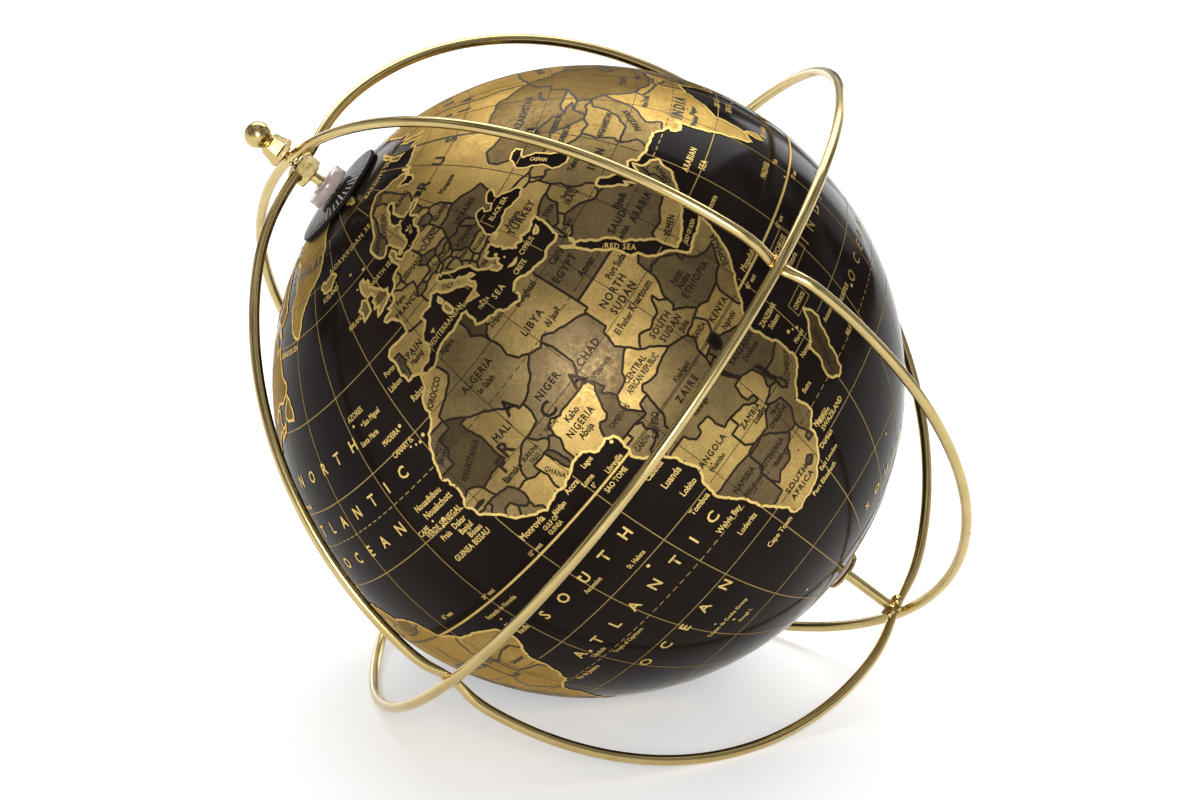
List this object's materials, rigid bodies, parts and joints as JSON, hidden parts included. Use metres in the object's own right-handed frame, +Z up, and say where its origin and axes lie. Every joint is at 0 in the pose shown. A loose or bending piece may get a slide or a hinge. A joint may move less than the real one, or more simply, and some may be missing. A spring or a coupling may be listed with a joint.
{
  "type": "desktop globe in wire ring stand",
  "caption": "Small dark globe that turns on two pins inside a cage of crossed brass wire rings, which is also its foot; ball finial and hour dial at the north pole.",
  "frame": {"origin": "middle of the footprint's bounding box, on the table plane", "axes": "+Z up in the resting pose; the north pole leans 53 degrees from +Z towards -X; -Y faces the viewer"},
  "size_m": [0.1494, 0.1608, 0.1317],
  "materials": {
    "brass": "polished brass-plated wire and turned pieces",
    "globe_black": "black gloss printed with an antique-gold map",
    "board": "plain grey, hidden inside",
    "clear_plastic": "clear moulded plastic with a faint pink cast",
    "smoked_plastic": "dark smoked plastic with printed hour marks"
  },
  "bodies": {
    "cage": {"equatorial_ring": "brass", "outer_meridian_ring": "brass", "inner_meridian_ring": "brass", "hex_collar": "brass", "finial": "brass", "north_pin": "brass", "south_pin": "brass", "south_washer": "brass"},
    "globe": {"north_shell": "globe_black", "south_shell": "globe_black", "joining_band": "board", "north_bush": "clear_plastic", "south_bush": "clear_plastic"},
    "dial": {"hour_dial": "smoked_plastic"}
  },
  "joints": [
    {"name": "globe_spin", "type": "hinge", "parent": "cage", "child": "globe", "pos_m": [-0.00347, -0.00038, 0.06664], "axis": [-0.8005, -0.049, 0.5974], "continuous": true},
    {"name": "dial_turn", "type": "hinge", "parent": "globe", "child": "dial", "pos_m": [-0.00347, -0.00038, 0.06664], "axis": [-0.8005, -0.049, 0.5974], "continuous": true}
  ]
}
